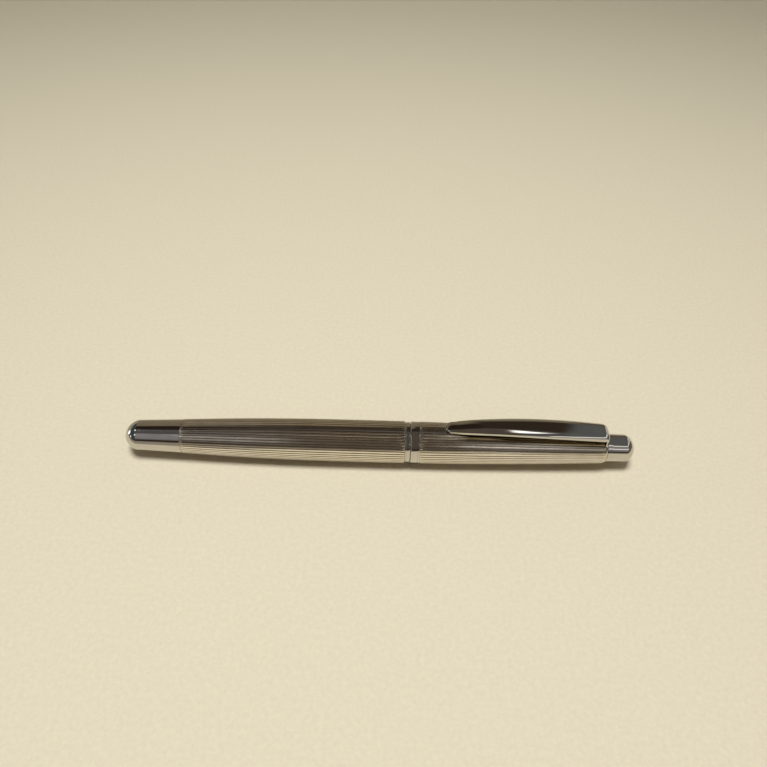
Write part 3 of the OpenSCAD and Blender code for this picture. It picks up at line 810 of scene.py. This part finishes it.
def converter():
    """Ink tube with its collar, ferrule and guide, the turning knob and the piston."""
    x0, x1 = span("converter_tube")
    skin, bore, mouth_wall, mouth = radius("converter_tube"), 2.7, 6, 1.3
    marks = spread_places(x0 + 12, x1 - 8, 4)
    line = [(x0, bore, 0.1)] + grooved(x0, x1, skin, marks, 0.2, 0.05, 0.12)
    line += [(x1, mouth, 0.2), (x1 - mouth_wall, mouth), (x1 - mouth_wall, bore, 0.3)]
    turned("converter_ink_tube", "converter_tube", "clear_plastic", line)
    x0, x1 = span("converter_mouth_collar")
    collar_r, places = radius("converter_mouth_collar"), spread_places(x0, x1, 4)
    line = [(x0, skin)] + grooved(x0, x1, collar_r, places, 0.3, 0.08, 0.08) + [(x1, skin)]
    turned("converter_collar", "converter_mouth_collar", "grip_plastic", line)
    x0, x1 = span("converter_ferrule")
    neck, places = 2.3, [x0 + 0.9, x0 + 1.3, x1 - 1.6, x1 - 1.2]
    line = [(x0, neck, 0.1)] + grooved(x0, x1, radius("converter_ferrule"), places, ease=0.18)
    line += [(x1, skin, 0.05), (x0 + 1.5, skin), (x0 + 1.5, neck)]
    turned("converter_metal_sleeve", "converter_ferrule", "polished_metal", line)
    x0, x1 = span("converter_guide")
    guide_r, places, rod_hole = radius("converter_guide"), spread_places(x0, x1, 2), 1.1
    line = [(x0, rod_hole, 0.15)] + grooved(x0, x1, guide_r, places, 0.8, 0.3, 0.15)
    line.append((x1, rod_hole, 0.15))
    turned("converter_rod_guide", "converter_guide", "liner_plastic", line)
    x0, x1 = span("converter_knob")
    knob_r, knob_x, neck_r, floor_t = radius("converter_knob"), x0 + 10.5, 2.25, 0.6
    line = [(x0, 0), (x0, knob_r - 1.2, 0.1), (x0 + 0.12, knob_r - 0.9)]
    line += [(x0 + 0.12, knob_r - 0.6, 0.2), (x0 + 0.6, knob_r, 0.25)]
    line += run(x0 + 1, knob_x - 0.3, knob_r, 0.3) + [(knob_x, knob_r, 0.2)]
    line += [(knob_x, neck_r)] + run(knob_x + 0.3, x1 - 0.3, neck_r, 0.1)
    line += [(x1, neck_r, 0.2), (x1, rod_hole, 0.15), (x0 + floor_t, rod_hole), (x0 + floor_t, 0)]
    flutes = lengthwise(x0 + 1.8, knob_x - 1.2, knob_r - 0.02, knob_r + 0.1, 0.26, 18)
    relief = both(thread(knob_x + 5.5, x1, neck_r - 0.01, neck_r + 0.01, 0.18, 1.0), flutes)
    turned("converter_turning_knob", "converter_knob", "grip_plastic", line, False, relief, 216)
    x0, x1 = span("piston_rod")
    rod_r = radius("piston_rod")
    line = [(x0, 0), (x0, rod_r, 0.3)] + run(x0 + 0.4, x1 - 0.2, rod_r, 0.12) + [(x1, rod_r), (x1, 0)]
    relief = thread(x0 + 0.5, x1 - 4, rod_r - 0.01, rod_r + 0.01, 0.16, 1.6)
    turned("piston_screw_rod", "piston_rod", "piston_plastic", line, False, relief, 48)
    x0, x1 = span("piston_seal")
    seal_r, waist = radius("piston_seal"), 2.2
    line = [(x0, 0), (x0, seal_r - 0.25, 0.05), (x0 + 0.25, seal_r, 0.12), (x0 + 0.9, seal_r, 0.12)]
    line += [(x0 + 1.1, waist, 0.1), (x1 - 1.1, waist, 0.1), (x1 - 0.9, seal_r, 0.12)]
    line += [(x1 - 0.2, seal_r, 0.12), (x1, seal_r - 0.25, 0.1), (x1, 0.9, 0.1)]
    line += [(x1 - 0.5, 0.7), (x1 - 0.5, 0)]
    turned("piston_seal_rubber", "piston_seal", "seal_rubber", line, False)


def cap_inside():
    """Lip, clutch sleeve, inner cap and screw."""
    x0, x1 = span("cap_lip_ring")
    bore, skin, groove_x = 5.1, cap_r(x1), x1 - 0.55
    line = [(x0, bore, 0.2), (x0, cap_r(x0), 0.3), (groove_x - 0.1, skin), (groove_x - 0.05, skin - 0.07)]
    line += [(groove_x + 0.05, skin - 0.07), (groove_x + 0.1, skin), (x1, skin, 0.06), (x1, bore)]
    turned("cap_lip_band", "cap_lip_ring", "polished_metal", line, turns=TURNS)
    x0, x1 = span("cap_clutch_sleeve")
    skin = [(x, cap_r(x) - TUBE_WALL - 0.005) for x in np.linspace(x0, x1, 12)]
    bore, slot_l, slot_w = 4.75, 9.0, 0.6
    line = [(x0, bore, 0.15)] + skin + [(x1, bore, 0.1)] + run(x1 - 0.5, x1 - 4, bore, 0.5)
    sleeve = lathe("cap_clutch_fingers", eased(line), angles=around(96))
    cut(sleeve, block(x0 - 1, x0 + slot_l, slot_w, -9, 9))
    cut(sleeve, block(x0 - 1, x0 + slot_l, 18, -slot_w / 2, slot_w / 2))
    finished(sleeve, "cap_clutch_sleeve", "brass_fitting")
    x0, x1 = span("cap_liner")
    outer = [(x, cap_r(x) - TUBE_WALL - 0.055) for x in np.linspace(x0, x1 - 0.3, 40)]
    inner = [(x, cap_r(x) - TUBE_WALL - 0.6) for x in np.linspace(x1 - 1.3, x0, 24)]
    line = [(x1 - 1, 0), (x1 - 1, inner[0][1] - 0.3)] + inner
    line[-1] = (*line[-1], 0.15)
    line += [(*outer[0], 0.15)] + outer[1:] + [(x1, outer[-1][1], 0.3), (x1, 0)]
    relief = lengthwise(x0 + 1.5, x1 - 1.5, 4.1, 9, 0.08, 12, 0.8)
    turned("cap_inner_cup", "cap_liner", "liner_plastic", line, False, relief)
    x0, x1 = span("cap_screw")
    head_l, head_r, shank = 2, radius("cap_screw"), 1.5
    line = [(x0, 0), (x0, head_r, 0.3), (x0 + head_l, head_r, 0.1), (x0 + head_l, shank)]
    line += run(x0 + head_l + 1.5, x1 - 0.3, shank, 0.07) + [(x1, shank, 0.25), (x1, 0)]
    relief = thread(x0 + head_l + 1.6, x1, shank - 0.01, shank + 0.01, 0.14, 0.5)
    screw = lathe("cap_slotted_screw", eased(line), False, relief, around(72))
    cut(screw, block(x0 - 1, x0 + 0.8, 0.7, -4, 4))
    finished(screw, "cap_screw", "brass_fitting")


def nib():
    """Steel nib: a curved leaf that narrows to two tines, with its slit, breather and pressed border."""
    low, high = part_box("nib")
    x0, x1 = low.x / MM, high.x / MM
    skin_r, metal, wrap_low = high.z / MM, 0.35, low.z / MM
    shoulder_x, breather_x, breather_r, tip_half = x1 - 15.2, x1 - 11.2, 0.55, 0.42
    wrap = acos(wrap_low / skin_r) - 0.02
    rows = []
    for x in np.linspace(x0, x1, 90):
        t = max(0.0, (x - shoulder_x) / (x1 - shoulder_x))
        half = tip_half + (skin_r - tip_half) * (1 - t ** 1.5)
        reach = min(wrap, asin(min(1, half / skin_r)) - 0.01)
        share = np.linspace(-1, 1, 41)
        border = 0.035 * np.clip(1 - np.abs(np.abs(share) - 0.84) / 0.04, 0, 1) * (0.05 < t < 0.9)
        rim = 0.06 * np.clip((np.abs(share) - 0.93) / 0.07, 0, 1) ** 2
        skin = skin_r - 0.004 - border - rim
        outer = [(x, r * sin(s * reach), r * cos(s * reach)) for s, r in zip(share, skin)]
        bore = skin_r - metal
        inner = [(x, bore * sin(s * reach), bore * cos(s * reach)) for s in reversed(share)]
        rows.append(outer + inner)
    piece = grid_mesh("nib_leaf", np.array(rows), False, True)
    close_ends(piece)
    round_hole = [(breather_x + breather_r * cos(a), breather_r * sin(a)) for a in around(40)]
    hole = np.array([[(x, y, z) for x, y in round_hole] for z in (0.5, 5)])
    punch = grid_mesh("cutter", hole, False, True)
    close_ends(punch)
    cut(piece, punch)
    cut(piece, block(breather_x, x1 + 1, NIB_SLIT, 0.5, 5))
    finished(piece, "nib", "nib_steel")


def nib_tip():
    """Bead of hard tipping with a flattened top, split by the nib's slit."""
    low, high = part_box("nib_tip")
    middle, size = (low + high) / 2 / MM, (high - low) / 2 / MM
    rows = []
    for i in range(17):
        a = pi * i / 16
        ring = []
        for b in around(40):
            flat = 0.82 if sin(b) > 0 else 1
            ring.append((middle.x - size.x * 0.99 * cos(a),
                         middle.y + size.y * 0.9 * sin(a) * cos(b),
                         middle.z + size.z * 0.98 * flat * sin(a) * sin(b)))
        rows.append(ring)
    bead = grid_mesh("nib_tipping_bead", np.array(rows), False, True)
    cut(bead, block(middle.x - 1, middle.x + 1, NIB_SLIT, middle.z - 1, middle.z + 1))
    finished(bead, "nib_tip", "tipping")


barrel_inside()
section()
converter()
cap_inside()
nib()
nib_tip()


# ---------- CAD nodes that stay as they are

for node, slot in {"feed": "feed_plastic", "clip_root": "polished_metal"}.items():
    for place in frame["nodes"][node].material_slots:
        place.material = MATERIALS[slot]


# ---------- floor, wall and light

def felt(name, light, dark):
    """Matt felt with a fine uneven nap."""
    cloth = Surface(name, Metallic=0.0, Roughness=0.95, Specular_IOR_Level=0.1)
    nap = cloth.noise(900, 6, 0.7)
    cloth.colour(cloth.blend(cloth.spread(nap, 0.3, 0.7), light, dark))
    cloth.bump(nap, 0.3, 2e-4)
    return cloth.material


def sheet(name, corners, z, material):
    """Flat sheet of the stage, with its corners in metres."""
    mesh = bpy.data.meshes.new(name)
    mesh.from_pydata([(x, y, 0) for x, y in corners], [], [tuple(range(len(corners)))])
    mesh.materials.append(material)
    plane = placed(name, mesh)
    plane.location.z = z
    plane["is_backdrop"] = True
    return plane


def hide(piece, *rays):
    """Keeps a piece of the stage from being seen by some kinds of ray, and from casting shadows."""
    for ray in (*rays, "diffuse", "shadow", "transmission", "volume_scatter"):
        setattr(piece, "visible_" + ray, False)


def floor():
    """Pale floor, with two darker cards for the polish to mirror, before and behind the pen."""
    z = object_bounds()[0].z - 1e-5
    half, lift = 1.5, 2e-5
    pale = felt("pale_felt", (0.65, 0.56, 0.395), (0.585, 0.50, 0.35))
    grey = felt("grey_card", (0.30, 0.255, 0.195), (0.27, 0.23, 0.175))
    brown = felt("brown_card", (0.30, 0.245, 0.155), (0.27, 0.22, 0.14))
    sheet("floor", [(-half, -half), (half, -half), (half, half), (-half, half)], z, pale)
    front = [(-half, -0.02), (-half, -half), (0.05, -half), (0.03, -0.3), (-0.01, -0.075), (-0.045, -0.02)]
    hide(sheet("front_card", front, z + lift, grey), "camera")
    back = [(-half, 0.028), (0.08, 0.028), (0.08, half), (-half, half)]
    hide(sheet("back_card", back, z + lift, brown), "camera")


def backdrop():
    """Plain pale wall all round, which the camera alone sees, so the room shows only in the polish."""
    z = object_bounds()[0].z
    far, rise, bend = 1.3, 2.2, 0.3
    line = [(far + bend * sin(a), bend * (1 - cos(a))) for a in np.linspace(0, pi / 2, 12)]
    line += [(far + bend, rise), (0, rise + 0.4)]
    points = np.array([[(r * cos(a), r * sin(a), h + z) for a in around(96)] for r, h in line]) / MM
    wall = grid_mesh("backdrop", points, False, True)
    glow = (0.36, 0.33, 0.27, 1)
    plain = Surface("plain_wall", Metallic=0.0, Roughness=1.0, Emission_Color=glow, Emission_Strength=1.0)
    plain.colour(plain.blend(plain.noise(2, 2, 0.5), (0.02, 0.02, 0.018), (0.03, 0.03, 0.027)))
    wall.data.materials.append(plain.material)
    hide(wall, "glossy")
    wall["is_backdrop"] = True


def soft_light():
    """One square soft light above and a little in front, which the polish doesn't mirror."""
    data = bpy.data.lights.new("key", "AREA")
    data.shape = "RECTANGLE"
    data.size = data.size_y = 0.22
    data.energy = 6.2
    data.color = (0.86, 0.92, 1.0)
    light = placed("key", data)
    light.location = (-0.02, -0.08, 0.7)
    light.rotation_euler = (-light.location).to_track_quat("-Z", "Y").to_euler()
    light.visible_glossy = False


# ---------- the room that the polish mirrors

class Sky(Tree):
    """Short way to build the room's colour from the direction that is looked in."""

    def __init__(self):
        self.world = bpy.data.worlds.new("room")
        super().__init__(self.world)
        self.direction = self.add("ShaderNodeTexCoord").outputs["Generated"]
        self.across, away, up = self.split(self.direction)
        height = self.calc("DIVIDE", self.calc("ARCSINE", up), pi)
        behind = self.calc("GREATER_THAN", away, 0.0)
        # 0 at the horizon in front of the pen, 0.5 overhead and 1 at the horizon behind it
        self.share = self.calc("MULTIPLY_ADD", behind, self.calc("MULTIPLY_ADD", height, -2.0, 1.0), height)
        self.colour = None

    def rise(self, value, low, high):
        """Goes smoothly from 0 at low to 1 at high."""
        return self.spread(value, low, high, interpolation_type="SMOOTHSTEP")

    def band(self, value, low, high, soft):
        """1 between low and high, fading to nothing over the soft margin outside them."""
        falling = self.calc("SUBTRACT", 1.0, self.rise(value, high, high + soft))
        return self.calc("MULTIPLY", self.rise(value, low - soft, low), falling)

    def ramp(self, value, bands):
        """Colours at angles from 0 to 180 degrees over the top of the room."""
        node = self.add("ShaderNodeValToRGB")
        self.link(value, node.inputs["Fac"])
        steps = node.color_ramp.elements
        while len(steps) < len(bands):
            steps.new(0.5)
        for step, (angle, colour) in zip(steps, bands):
            step.position = angle / 180
            step.color = (*colour, 1)
        self.colour = node.outputs["Color"]

    def patch(self, across, share, colour, soft=(0.04, 0.03)):
        """Paints a colour between two values across the room and two shares of the way over it."""
        wide = self.band(self.across, *across, soft[0])
        where = self.calc("MULTIPLY", wide, self.band(self.share, *share, soft[1]))
        self.colour = self.blend(where, self.colour, colour)

    def lamp(self, direction, size, colour):
        """Paints a round soft-edged lamp, its size in degrees."""
        node = self.add("ShaderNodeVectorMath", operation="DOT_PRODUCT")
        self.link(self.direction, node.inputs[0])
        node.inputs[1].default_value = Vector(direction).normalized()
        outer, inner = cos(radians(size * 1.25)), cos(radians(size * 0.75))
        self.colour = self.blend(self.rise(node.outputs["Value"], outer, inner), self.colour, colour)

    def finish(self):
        self.link(self.colour, self.tree.nodes["Background"].inputs["Color"])
        bpy.context.scene.world = self.world


def room():
    """Soft room round the pen: dark in front, grey walls, a dim ceiling and a warm wall behind."""
    sky = Sky()
    # the far wall's edge leans, so it is nearer overhead towards the left
    past = sky.calc("MAXIMUM", sky.calc("SUBTRACT", sky.share, 0.33), 0.0)
    right = sky.calc("MAXIMUM", sky.across, -0.06)
    lean = sky.calc("MULTIPLY", sky.calc("MULTIPLY", past, right), -0.445)
    sky.ramp(sky.calc("ADD", sky.share, lean), [
        (0, (0.2, 0.16, 0.12)), (3, (0.1, 0.08, 0.06)), (7, (0.02, 0.015, 0.01)),
        (10, (0.02, 0.015, 0.01)), (14, (0.1, 0.09, 0.08)), (19, (0.22, 0.21, 0.2)),
        (23, (0.28, 0.27, 0.27)), (50, (0.28, 0.27, 0.27)), (53, (0.105, 0.1, 0.1)),
        (106, (0.10, 0.095, 0.095)), (113, (0.03, 0.022, 0.016)), (126, (0.022, 0.015, 0.01)),
        (131, (0.22, 0.18, 0.12)), (172, (0.26, 0.22, 0.15)), (180, (0.29, 0.24, 0.16)),
    ])
    # a pale line and a brown haze in the middle of the wall in front
    sky.patch((-0.36, 0.28), (0.266, 0.284), (0.55, 0.55, 0.54), (0.04, 0.008))
    sky.patch((-0.16, 0.16), (0.1, 0.55), (0.10, 0.08, 0.062), (0.06, 0.05))
    # the pale foot of the wall in front, and a dark beam behind
    sky.patch((0.14, 1.0), (-0.2, 0.02), (0.40, 0.36, 0.27), (0.06, 0.015))
    sky.patch((0.07, 0.36), (0.64, 0.79), (0.04, 0.03, 0.02), (0.1, 0.04))
    # the wall to the right, with its lamps, its window and the window's frame
    sky.patch((0.37, 1.0), (0.335, 0.80), (0.125, 0.132, 0.13), (0.04, 0.02))
    sky.patch((0.37, 1.0), (0.82, 0.96), (0.13, 0.105, 0.08), (0.04, 0.02))
    sky.patch((0.31, 0.6), (0.294, 0.31), (1.3, 1.3, 1.2), (0.02, 0.008))
    sky.patch((0.16, 0.6), (0.182, 0.196), (1.5, 1.45, 1.4), (0.02, 0.01))
    sky.patch((0.6, 0.84), (0.79, 1.0), (0.62, 0.61, 0.55), (0.05, 0.03))
    sky.patch((0.6, 0.69), (0.28, 0.72), (1.3, 1.35, 1.3), (0.04, 0.03))
    sky.patch((0.74, 0.86), (0.15, 0.75), (0.03, 0.035, 0.03), (0.03, 0.03))
    # the dark wall to the left, with its lamps, and the pale corner behind it
    sky.patch((-1.0, -0.45), (0.87, 1.02), (0.42, 0.38, 0.29), (0.05, 0.02))
    sky.patch((-1.0, -0.5), (0.06, 0.86), (0.06, 0.075, 0.075), (0.05, 0.04))
    sky.lamp((-0.52, -0.09, 0.85), 4.5, (2.2, 2.2, 2.2))
    sky.lamp((-0.52, -0.56, 0.64), 4.5, (2.0, 2.0, 2.0))
    sky.lamp((-0.97, 0.1, 0.14), 8, (2.5, 2.6, 2.6))
    sky.lamp((-0.92, -0.33, 0.15), 6, (0.9, 1.0, 1.0))
    # the long lamp overhead that shows as a white line on the clip's front shoulder
    sky.patch((0.21, 0.3), (0.42, 0.56), (2.6, 2.6, 2.55), (0.06, 0.03))
    sky.finish()


# ---------- camera

def camera():
    """The photograph's camera, in metres and degrees, worked out from the corners of the pen's box."""
    data = bpy.data.cameras.new("camera")
    data.sensor_width = 36
    data.lens = 30.21
    data.clip_start, data.clip_end = 0.01, 10
    view = placed("camera", data)
    view.location = (0.00255, -0.1166, 0.13413)
    view.rotation_euler = Euler([radians(a) for a in (46.14, -1.14, 1.07)])
    bpy.context.scene.camera = view


floor()
backdrop()
soft_light()
room()
camera()
bpy.context.scene.view_settings.view_transform = "Standard"
